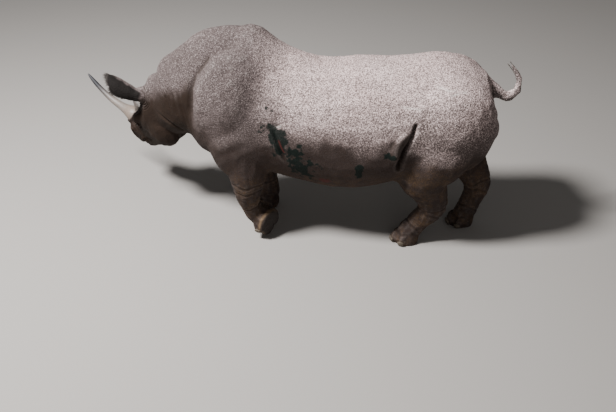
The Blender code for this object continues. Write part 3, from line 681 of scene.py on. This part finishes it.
def mark_hide(obj, sole):
    """Stores what the hide's material reads: mud and painted shade, a tone paler towards the tail, hollows
    for painted shade, ridges for painted highlight, stains, scratches and sores, and painted shade on the
    face, in the nostrils and on the ears.
    """
    p = coords_of(obj) - HUMP
    x, y, z = p.T
    q = head_measure(p)
    head, ear, _, _ = parts_of_body(p)
    up = normals_of(obj)[:, 2]
    # mud and painted shade: brown below a wavering height that rises where the hide faces down, less where
    # the head faces up
    rise = z + 0.07 * noise(p, 0.22, 101) + 0.04 * noise(p, 0.06, 102) + 0.22 * up
    rise += 0.13 * ramp(x, 1.12, 1.30)
    mud_and_shade = (1 - ramp(rise, 0.78, 1.20)) * (1 - 0.4 * head * ramp(up, 0.2, 0.7))
    # painted shade: the face and throat are darkest below a slanting line and where they face down, but
    # for a patch beside the horns
    below = z - 1.15 - 0.59 * (x + 0.51)
    below += 0.035 * noise(p, 0.12, 103) + 0.02 * noise(p, 0.03, 104)
    shade = (1 - ramp(below, -0.08, 0.10)) * (1 - ramp(up, 0.50, 0.80))
    shade *= ramp(-x, 0.34, 0.42)
    shade *= 1 - 0.85 * hump(norms(q - (0.42, 0.05, 0.11)), 0.075)
    mark(obj, "deep", shade * (1 - sole))
    # the face's painted shade goes into the mud and shade too
    mud_and_shade = np.maximum(mud_and_shade, 1.2 * shade)
    # the roll of skin before the haunch is darker on the left
    roll = [(1.165, 1.04), (1.125, 0.98), (1.105, 0.92), (1.105, 0.85)]
    to_roll, _ = to_line(p * (1, 0, 1), flat(roll))
    mud_and_shade += 0.42 * hump(to_roll, 0.035) * (y < 0)
    mark(obj, "mud_and_shade", mud_and_shade)
    mark(obj, "low", 1 - ramp(z - 0.15 * ramp(x, 1.0, 1.3), 0.50, 0.75))
    # the hide's tone: darker at the front, paler towards the tail
    mark(obj, "tailward", ramp(x + 0.10 * noise(p, 0.3, 107), 0.02, 0.45))
    dips = hollows(obj)
    # hollows take painted shade in the hide's colour
    mark(obj, "hollow", ramp(dips, 0.0003, 0.0024))
    # ridges take a painted highlight in the hide's colour
    mark(obj, "ridge", ramp(-dips, 0.0002, 0.0018))
    mark(obj, "stain", stained(p))
    mark(obj, "scratch", scratched(p))
    streak, along = to_line(p * (1, 0, 1), flat([(0.262, 0.95), (0.285, 0.88), (0.31, 0.83)]))
    sore = hump(streak, 0.006) * fading(along, 0.2)
    graze = hump(norms(p - (0.60, -0.37, 0.61)), 0.05) + 0.3 * noise(p, 0.02, 105)
    sore = np.maximum(sore, 0.55 * ramp(graze, 0.4, 0.9))
    mark(obj, "sore", sore * (y < 0))
    # painted shade inside the nostrils and over the ears' lower halves
    pit, _ = to_line(q * (1, 0, 1), flat(NOSTRIL))
    nostril_shade = (1 - ramp(pit, 0.006, 0.014)) * ramp(q[:, 0], 0.50, 0.52)
    mark(obj, "dark", np.maximum(nostril_shade * head, ear * shaded_ear(p)))


def shaded_ear(p):
    """How dark each ear is painted: painted shade over its lower half, and its end nearly black."""
    total = np.zeros(len(p))
    for side in (LEFT, RIGHT):
        root = ear_point(side, 0.1, 0.0) - HUMP
        axis = ear_point(side, 0.9, 0.0) - HUMP - root
        length = np.linalg.norm(axis)
        axis /= length
        down = np.array((-0.41, -0.53, -0.74))
        down -= axis * (down @ axis)
        far = (p - root) @ axis / length
        below = (p - root) @ down / np.linalg.norm(down) + 0.010 * noise(p, 0.03, 111)
        near = 1 - ramp(np.abs(far - 0.5), 0.60, 0.75)
        dark = np.maximum(ramp(below + 0.01 * far, -0.006, 0.012), ramp(far, 0.88, 1.02))
        total = np.maximum(total, near * dark)
    return total


def divide(obj, inside):
    """Halves the edges of the mesh that lie inside, for finer forms there."""
    bm = bmesh.new()
    bm.from_mesh(obj.data)
    edges = [edge for edge in bm.edges if inside[edge.verts[0].index] and inside[edge.verts[1].index]]
    bmesh.ops.subdivide_edges(bm, edges=edges, cuts=1, use_grid_fill=True)
    bm.to_mesh(obj.data)
    bm.free()


def hide(material):
    """One skin for all the flesh: head, ears, neck, trunk, tail and legs."""
    obj = gathered("hide", FLESH + EARS, SEAM)
    remesh(obj, HIDE_VOXEL)
    p = coords_of(obj) - HUMP
    head, ear, leg, tail = parts_of_body(p)
    # the head, ears, legs and tail keep more of their form, and the soles stay flat
    amount = (1 - 0.60 * head) * (1 - ear * 0.95) * (1 - 0.55 * leg) * (1 - 0.92 * tail)
    amount *= ramp(p[:, 2], 0.0, 0.03)
    relax(obj, BODY_SMOOTHING, amount)
    push(obj, np.full(len(obj.data.vertices), -SEAM))
    divide(obj, np.maximum(head, ear) > 0.5)
    p = coords_of(obj) - HUMP
    head, ear, _, _ = parts_of_body(p)
    relax(obj, FACE_SMOOTHING, np.maximum(head, 0.6 * ear))
    q = head_measure(coords_of(obj) - HUMP)
    eye = norms(q - EYE_ON_HEAD) < 0.070
    muzzle = (q[:, 0] > 0.43) & (q[:, 2] > -0.12) & (q[:, 2] < 0.08)
    divide(obj, eye | muzzle)
    sole = sculpt(obj)
    open_lids(obj)
    mark_hide(obj, sole)
    obj.data.materials.append(material)
    obj.data.shade_smooth()
    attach(obj, "root")
    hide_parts(*FLESH, *EARS)


# ------------------------ materials
class Nodes:
    """Short way to build a material's nodes."""

    def __init__(self, name):
        self.material = bpy.data.materials.new(name)
        self.material.use_nodes = True
        self.tree = self.material.node_tree
        self.shader = self.tree.nodes["Principled BSDF"]

    def add(self, kind, **inputs):
        node = self.tree.nodes.new(kind)
        for key, value in inputs.items():
            self.feed(node.inputs[key], value)
        return node

    def feed(self, socket, value):
        if isinstance(value, bpy.types.NodeSocket):
            self.tree.links.new(value, socket)
        else:
            socket.default_value = value

    def paint(self, colour):
        self.feed(self.shader.inputs["Base Color"], colour)

    def where(self):
        return self.add("ShaderNodeTexCoord").outputs["Object"]

    def noise(self, scale, detail, roughness=0.6):
        node = self.add("ShaderNodeTexNoise", Vector=self.where(), Scale=scale, Detail=detail,
                        Roughness=roughness)
        return node.outputs["Fac"]

    def cells(self, scale, feature="F1"):
        node = self.add("ShaderNodeTexVoronoi", Vector=self.where(), Scale=scale)
        node.feature = feature
        return node.outputs["Distance"]

    def value(self, name, share=None):
        """A mark of the mesh, or a share of it."""
        node = self.add("ShaderNodeAttribute")
        node.attribute_name = name
        value = node.outputs["Fac"]
        return value if share is None else self.math("MULTIPLY", value, share)

    def math(self, operation, a, b):
        node = self.add("ShaderNodeMath")
        node.operation = operation
        self.feed(node.inputs[0], a)
        self.feed(node.inputs[1], b)
        return node.outputs["Value"]

    def fit(self, value, low, high, to_low=0.0, to_high=1.0):
        node = self.add("ShaderNodeMapRange", Value=value)
        limits = (("From Min", low), ("From Max", high), ("To Min", to_low), ("To Max", to_high))
        for name, limit in limits:
            node.inputs[name].default_value = limit
        return node.outputs["Result"]

    def mix(self, amount, a, b):
        node = self.tree.nodes.new("ShaderNodeMix")
        node.data_type = "RGBA"
        self.feed(node.inputs["Factor"], amount)
        for socket, value in ((node.inputs[6], a), (node.inputs[7], b)):
            if isinstance(value, tuple):
                value = (*value, 1.0)
            self.feed(socket, value)
        return node.outputs[2]

    def bump(self, height, distance, strength, under=None):
        node = self.add("ShaderNodeBump", Height=height, Distance=distance, Strength=strength)
        if under is not None:
            self.feed(node.inputs["Normal"], under)
        return node.outputs["Normal"]


def hide_material():
    """Grey hide, paler at the back where it faces up with dust and painted light, brown mud and painted
    shade low down and on the face, and a grain of fine pebbles with painted highlights on their tops and
    painted shade between them.
    """
    n = Nodes("hide")
    facing = n.add("ShaderNodeSeparateXYZ", Vector=n.add("ShaderNodeNewGeometry").outputs["Normal"])
    blotch = n.fit(n.noise(3.0, 6, 0.65), 0.35, 0.65)
    mottle = n.fit(n.noise(14, 6, 0.75), 0.38, 0.62)
    grain = n.noise(84, 6, 0.85)
    pebble = n.cells(112)
    crack = n.cells(84, "DISTANCE_TO_EDGE")
    rough = n.fit(grain, 0.3, 0.7, -1.0, 1.0)

    def ragged(value, amount, low, high):
        """The value from low to high, with its border broken up by the grain."""
        return n.fit(n.math("ADD", value, n.math("MULTIPLY", rough, amount)), low, high)

    # the hide is darker at the front and paler towards the tail
    tailward = n.value("tailward")
    front_grey = n.mix(blotch, (0.135, 0.104, 0.100), (0.195, 0.153, 0.148))
    back_grey = n.mix(blotch, (0.190, 0.146, 0.140), (0.270, 0.212, 0.204))
    grey = n.mix(tailward, front_grey, back_grey)
    # what faces up: paler at the back with dust and painted light, darker than the grey at the front
    front_top_tone = n.mix(blotch, (0.096, 0.074, 0.071), (0.140, 0.110, 0.106))
    back_top_dust_and_light = n.mix(blotch, (0.640, 0.480, 0.455), (0.820, 0.640, 0.612))
    top_dust_and_light = n.mix(tailward, front_top_tone, back_top_dust_and_light)
    brown = n.mix(blotch, (0.015, 0.0085, 0.0062), (0.030, 0.018, 0.013))
    ochre = n.value("low", n.fit(n.noise(9.0, 5, 0.7), 0.42, 0.66))
    brown = n.mix(n.math("MULTIPLY", ochre, 0.8), brown, (0.110, 0.064, 0.030))
    up = ragged(facing.outputs["Z"], 0.3, -0.15, 0.60)
    mud_and_shade = ragged(n.value("mud_and_shade"), 0.22, 0.05, 0.95)
    # brown where the mud lies and where shade is painted
    colour = n.mix(mud_and_shade, n.mix(up, grey, top_dust_and_light), brown)
    colour = n.mix(n.fit(mottle, 0, 1, 0.22, 0.0), colour, (0.060, 0.046, 0.042))
    # painted highlight along the ridges, less where mud and shade lie
    colour = n.mix(n.value("ridge", n.fit(mud_and_shade, 0, 1, 0.22, 0.08)), colour, (0.42, 0.37, 0.35))

    # painted shade between the pebbles
    shaded_gaps = ragged(pebble, -0.50, 0.22, 0.80)
    colour = n.mix(n.math("MULTIPLY", shaded_gaps, 0.80), colour, (0.036, 0.027, 0.025))
    # painted highlight on the pebbles' tops, paler towards the tail and faint where mud lies
    lit_tops = ragged(pebble, -0.55, 0.30, -0.10)
    lit_tops = n.math("MULTIPLY", lit_tops, n.fit(mud_and_shade, 0, 1, 0.78, 0.03))
    colour = n.mix(lit_tops, colour, n.mix(tailward, (0.36, 0.31, 0.30), (0.88, 0.75, 0.72)))

    # painted shade in the hollows
    colour = n.mix(n.value("hollow", 0.75), colour, (0.030, 0.022, 0.018))
    colour = n.mix(n.value("scratch", 0.6), colour, (0.70, 0.64, 0.60))
    smear = ragged(n.value("stain"), 0.45, 0.35, 0.70)
    colour = n.mix(n.math("MULTIPLY", smear, 0.92), colour, (0.003, 0.008, 0.0065))
    colour = n.mix(n.value("sore", 0.7), colour, (0.10, 0.014, 0.012))
    # painted shade over the face and throat, from the deep mark
    colour = n.mix(n.value("deep", n.fit(rough, -1, 1, 0.97, 0.80)), colour, (0.015, 0.0085, 0.0052))
    pad = n.mix(n.fit(grain, 0.3, 0.7), (0.020, 0.0165, 0.015), (0.046, 0.039, 0.036))
    colour = n.mix(n.value("sole"), colour, pad)
    # painted highlight round the rim of the raised sole
    colour = n.mix(n.value("rim", 0.8), colour, (0.150, 0.098, 0.058))
    # painted shade inside the nostrils and over the ears' lower halves; the ears' ends nearly black
    colour = n.mix(n.value("dark"), colour, (0.008, 0.0062, 0.0055))

    n.paint(colour)
    n.feed(n.shader.inputs["Roughness"], n.fit(grain, 0.3, 0.7, 0.62, 0.88))
    n.shader.inputs["Specular IOR Level"].default_value = 0.12
    under = n.bump(n.fit(crack, 0.0, 0.16), 0.0016, 0.4)
    under = n.bump(n.fit(pebble, 0.9, 0.0), 0.0035, n.fit(mud_and_shade, 0, 1, 1.0, 0.4), under)
    n.feed(n.shader.inputs["Normal"], n.bump(grain, 0.0060, n.fit(mud_and_shade, 0, 1, 0.9, 0.45), under))
    return n.material


def horn_material():
    n = Nodes("horn")
    fibres = n.noise(180, 3)
    colour = n.mix(n.fit(fibres, 0.35, 0.65), (0.095, 0.078, 0.068), (0.20, 0.168, 0.145))
    tip = n.value("tip")
    colour = n.mix(n.fit(tip, 0.42, 0.78), colour, (0.020, 0.020, 0.024))
    root = n.fit(tip, 0.22, 0.02)
    colour = n.mix(root, colour, (0.19, 0.135, 0.100))
    n.paint(colour)
    n.feed(n.shader.inputs["Roughness"], n.fit(fibres, 0.3, 0.7, 0.42, 0.62))
    n.feed(n.shader.inputs["Normal"], n.bump(fibres, 0.0015, 0.5))
    return n.material


def eye_material():
    n = Nodes("eye")
    n.paint(n.mix(n.noise(120, 3), (0.010, 0.006, 0.004), (0.030, 0.017, 0.010)))
    n.shader.inputs["Roughness"].default_value = 0.22
    n.shader.inputs["Specular IOR Level"].default_value = 0.16
    return n.material


def nail_material():
    n = Nodes("nail")
    n.paint(n.mix(n.noise(90, 4), (0.050, 0.037, 0.026), (0.120, 0.094, 0.068)))
    n.shader.inputs["Roughness"].default_value = 0.7
    n.feed(n.shader.inputs["Normal"], n.bump(n.noise(220, 3), 0.001, 0.5))
    return n.material


# ------------------------ horns, eyes and nails
def refined(name, node, voxel, steps, material, round_it=False):
    """Smooth fine copy of a CAD node that stands for it."""
    obj = gathered(name, [node], ROUNDING if round_it else 0.0)
    if round_it:
        rounder = obj.modifiers.new("rounder", "SUBSURF")
        rounder.levels = rounder.render_levels = 2
        apply_modifiers(obj)
    remesh(obj, voxel)
    relax(obj, steps, np.ones(len(obj.data.vertices)))
    obj.data.materials.append(material)
    obj.data.shade_smooth()
    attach(obj, "root")
    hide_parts(node)
    return obj


def horns(material):
    for node in ("front_horn", "rear_horn"):
        obj = refined(node + "_keratin", node, HORN_VOXEL, 16, material, round_it=True)
        p = coords_of(obj) - HUMP
        foot = on_head(0.49 if node == "front_horn" else 0.345, 0, 0.14)
        reach = norms(p - foot)
        share = reach / reach.max()
        mark(obj, "tip", share)
        if node == "front_horn":
            push(obj, -HORN_SLIMMER * ramp(share, 0.08, 0.30) * (1 - ramp(share, 0.60, 0.95)))


def eyes(material):
    for node in ("left_eye", "right_eye"):
        low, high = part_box(node)
        bm = bmesh.new()
        bmesh.ops.create_uvsphere(bm, u_segments=32, v_segments=20, radius=(high.z - low.z) / 2)
        bmesh.ops.translate(bm, verts=bm.verts, vec=(low + high) / 2)
        mesh = bpy.data.meshes.new(node + "_ball")
        bm.to_mesh(mesh)
        bm.free()
        obj = linked(node + "_ball", mesh)
        obj.data.materials.append(material)
        obj.data.shade_smooth()
        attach(obj, "root")
        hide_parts(node)


def nails(material):
    for node in NAILS:
        refined(node + "_horn", node, NAIL_VOXEL, 8, material)


# ------------------------ hair
def tufts(name, roots, ways, bends, lengths, radii, spots, material):
    """Thin tapering tufts as one mesh: each from its root along its way, bent aside towards its end.

    Each tuft's map is a small patch at its root's spot on the unwrapped skin.
    """
    rings = ((0.00, 1.0), (0.35, 0.85), (0.70, 0.55), (1.00, 0.12))
    count = len(roots)
    roots, ways, lengths, spots = map(np.array, (roots, ways, lengths, spots))
    ways /= norms(ways)[:, None]
    aside = np.cross(ways, (0.31, 0.52, 0.79))
    aside /= norms(aside)[:, None]
    third = np.cross(ways, aside)
    coords, spread = [], []
    for share, width in rings:
        middle = roots + (ways * share + bends * share ** 2) * lengths[:, None]
        for k in range(3):
            turn = 2 * math.pi * k / 3
            rim = aside * math.cos(turn) + third * math.sin(turn)
            coords.append(middle + rim * (radii * width)[:, None])
            spread.append(spots + 0.003 * np.array((k / 2 - 0.5, share - 0.5)))
    coords = np.stack(coords, axis=1).reshape(-1, 3)
    spread = np.stack(spread, axis=1).reshape(-1, 2)
    quads = [(3 * r + k, 3 * r + (k + 1) % 3, 3 * r + 3 + (k + 1) % 3, 3 * r + 3 + k)
             for r in range(len(rings) - 1) for k in range(3)]
    ends = [(2, 1, 0), tuple(3 * (len(rings) - 1) + k for k in range(3))]
    size = 3 * len(rings)
    faces = [tuple(size * i + k for k in face) for i in range(count) for face in quads + ends]
    obj = new_mesh(name, coords, faces)
    layer = obj.data.uv_layers.new(name="OFBake")
    corners = np.empty(len(obj.data.loops), np.int32)
    obj.data.loops.foreach_get("vertex_index", corners)
    layer.data.foreach_set("uv", spread[corners].astype(np.float32).ravel())
    obj.data.materials.append(material)
    obj.data.shade_smooth()
    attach(obj, "root")
    return obj


def ear_point(side, u, v):
    """A point of the ear's leaf in the frame, at a height u and across v, from -1 to 1."""
    margin = np.interp(u, [0, 0.15, 0.35, 0.6, 0.85, 1.0], [165, 150, 112, 100, 92, 66])
    radius = np.interp(u, [0, 0.15, 0.4, 0.7, 0.9, 1.0], [0.036, 0.042, 0.070, 0.084, 0.076, 0.056])
    nick = 0.0
    if side == LEFT:
        nick = 0.24 * math.exp(-(((v + 0.95) / 0.25) ** 2) - ((u - 0.56) / 0.07) ** 2)
        nick += 0.20 * math.exp(-(((v - 0.90) / 0.25) ** 2) - ((u - 0.89) / 0.08) ** 2)
    angle = math.radians(margin) * v * (1 - nick)
    height = EAR_LENGTH * u * (1 - 0.10 * v * v * u)
    local = Vector((-radius * (math.cos(angle) - 0.6), radius * math.sin(angle), height))
    tip, opening = (Vector((-f, r, z)) for f, r, z in EAR_AIMS[side])
    axis = tip.normalized()
    across = axis.cross(opening).normalized()
    turned = Matrix((across.cross(axis), across, axis)).transposed().to_4x4()
    base = Matrix.Translation((-EAR_ROOT[0], side * EAR_ROOT[1], EAR_ROOT[2]))
    return np.array(head_place() @ base @ turned @ local) + HUMP


def ear_fringe(material):
    """Dark bristles round each ear's margin, longest and clumped into points at its tip."""
    random = np.random.default_rng(7)
    roots, ways, bends, lengths, spots = [], [], [], [], []
    for side in (LEFT, RIGHT):
        rim = [(u, -0.99) for u in np.linspace(0.32, 0.98, 210)]
        rim += [(0.985, v) for v in np.linspace(-0.99, 0.99, 260)]
        rim += [(u, 0.99) for u in np.linspace(0.98, 0.32, 210)]
        points = np.array([ear_point(side, u, v) for u, v in rim])
        inner = np.array([ear_point(side, u - 0.05, v * 0.93) for u, v in rim])
        tip_wards = np.array([u * (1 - 0.3 * abs(v)) for u, v in rim])
        along = np.gradient(points, axis=0)
        along /= norms(along)[:, None]
        for _ in range(3):
            place = np.arange(len(rim)) + random.uniform(-0.5, 0.5, len(rim))
            swing = place * 2 * math.pi / 34 + 1.7 * np.sin(place * 0.045) + side
            clump = (0.5 + 0.5 * np.cos(swing)) ** 1.5
            lean = np.sin(swing)
            out = points - inner
            out /= norms(out)[:, None]
            roots.append(points - out * 0.006 + random.normal(0, 0.0012, points.shape))
            ways.append(out + along * (0.70 * lean)[:, None] + random.normal(0, 0.06, points.shape))
            bends.append(random.normal(0, 0.15, points.shape) + along * (0.2 * lean)[:, None])
            reach = 0.016 + 0.022 * ramp(tip_wards, 0.35, 0.85)
            lengths.append(reach * (0.30 + 1.05 * clump) * random.uniform(0.8, 1.1, len(rim)))
            half = 0.25 + 0.25 * side
            spots.append(np.array([(half + 0.22 * (v + 1), 0.02 + 0.95 * u) for u, v in rim]))
    roots, ways, bends, lengths, spots = map(np.concatenate, (roots, ways, bends, lengths, spots))
    radii = random.uniform(0.0007, 0.0012, len(roots))
    tufts("ear_fringe", roots, ways, bends, lengths, radii, np.clip(spots, 0.005, 0.995), material)


def tail_bristles(material):
    """Two rows of stiff bristles along the last of the tail, and a few at its very tip."""
    random = np.random.default_rng(11)
    line = np.array(TAIL[-5:])
    steps = np.concatenate(([0], np.cumsum(norms(np.diff(line, axis=0)))))
    roots, ways, lengths, spots = [], [], [], []

    def on_line(reach):
        return np.array([np.interp(reach, steps, line[:, k]) for k in (0, 1)])

    for row in range(150):
        far = random.uniform(0.30, 1.0) ** 0.7
        reach = far * steps[-1]
        x, z = on_line(reach)
        dx, dz = on_line(reach + 0.01) - on_line(reach - 0.01)
        along = np.array((dx, 0.0, dz)) / max(math.hypot(dx, dz), 1e-6)
        turn = (1 if row % 2 else -1) * math.pi / 2 + random.normal(0, 0.35)
        beside = np.array((-along[2], 0.0, along[0])) * math.sin(turn) + np.array((0, math.cos(turn), 0))
        thick = np.interp(far, (0, 1), (0.026, 0.013))
        roots.append(np.array((x, 0.0, z)) + beside * thick * 0.72 + HUMP)
        ways.append(along * 1.5 + beside * (0.28 if far < 0.97 else 0.10) + random.normal(0, 0.08, 3))
        lengths.append(random.uniform(0.012, 0.024) * (0.7 + 0.6 * far))
        spots.append((0.1 + 0.8 * (turn % (2 * math.pi)) / (2 * math.pi), 0.05 + 0.9 * far))
    bends = random.normal(0, 0.10, (len(roots), 3))
    radii = random.uniform(0.0006, 0.0011, len(roots))
    tufts("tail_bristles", roots, ways, bends, lengths, radii, spots, material)


def lashes(material):
    """Short lashes along each upper lid."""
    random = np.random.default_rng(13)
    across, long_way, high_way = eye_axes()
    roots, ways, lengths, spots = [], [], [], []
    for centre, radius, side in eye_places():
        out = across * side
        for s in np.linspace(-0.85, 0.85, 34) * EYE_WIDE:
            t = EYE_HIGH * math.sqrt(1 - (s / EYE_WIDE) ** 2) + 0.0006
            h = math.sqrt((radius + EYE_LID) ** 2 - s * s - t * t) - 0.001
            roots.append(centre + long_way * s + high_way * t + out * h)
            fan = 0.25 * high_way + long_way * (s / EYE_WIDE) * 0.5
            ways.append(out + fan + random.normal(0, 0.08, 3))
            lengths.append(random.uniform(0.008, 0.013))
            spots.append((0.5 + side * 0.25 + s * 6, 0.5 + t * 6))
    bends = np.tile(high_way * 0.35, (len(roots), 1))
    tufts("lashes", roots, ways, bends, lengths, np.full(len(roots), 0.00035), spots, material)


def hair_material(name, dark, light):
    n = Nodes(name)
    n.paint(n.mix(n.noise(260, 2), dark, light))
    n.shader.inputs["Roughness"].default_value = 0.55
    return n.material


# ------------------------ stage, light and camera
def stage():
    n = Nodes("pale_floor")
    n.paint((0.30, 0.28, 0.262, 1))
    n.shader.inputs["Roughness"].default_value = 0.9
    floor = new_mesh("floor", [(-12, -10, 0), (12, -10, 0), (12, 14, 0), (-12, 14, 0)], [(0, 1, 2, 3)])
    floor.data.materials.append(n.material)


def lamp(name, place, target, size, power):
    data = bpy.data.lights.new(name, "AREA")
    data.shape = "DISK"
    data.size = size
    data.energy = power
    obj = linked(name, data)
    obj.location = place
    obj.rotation_euler = (Vector(target) - Vector(place)).to_track_quat("-Z", "Y").to_euler()


def lights():
    lamp("key", (-3.3, -2.1, 6.5), (0.0, 0.0, 0.7), 1.5, 1650)
    lamp("fill", (2.0, -6.0, 2.5), (0.0, 0.0, 0.6), 4.0, 40)
    world = bpy.data.worlds.new("soft_surround")
    world.use_nodes = True
    surround = world.node_tree.nodes["Background"].inputs
    surround["Color"].default_value = (0.88, 0.87, 0.87, 1)
    surround["Strength"].default_value = 0.17
    bpy.context.scene.world = world


def camera():
    """Above and to the left of the animal, looking down at it."""
    target = np.array(CAMERA_TARGET) + HUMP
    level = math.cos(CAMERA_HEIGHT)
    side = np.array((math.sin(CAMERA_TURN), -math.cos(CAMERA_TURN))) * level
    toward = np.array((*side, math.sin(CAMERA_HEIGHT)))
    data = bpy.data.cameras.new("camera")
    data.sensor_width = CAMERA_SENSOR
    data.lens = CAMERA_LENS
    obj = linked("camera", data)
    obj.location = target + toward * CAMERA_DISTANCE
    obj.rotation_euler = Vector(-toward).to_track_quat("-Z", "Y").to_euler()
    bpy.context.scene.camera = obj


camera()
hide(hide_material())
horns(horn_material())
eyes(eye_material())
nails(nail_material())
dark_hair = hair_material("dark_hair", (0.012, 0.009, 0.008), (0.035, 0.026, 0.021))
ear_fringe(dark_hair)
lashes(dark_hair)
# painted light: the tail's bristles are coloured pale as the lit end of the tail
tail_bristles(hair_material("pale_lit_hair", (0.10, 0.080, 0.068), (0.26, 0.22, 0.195)))
stage()
lights()
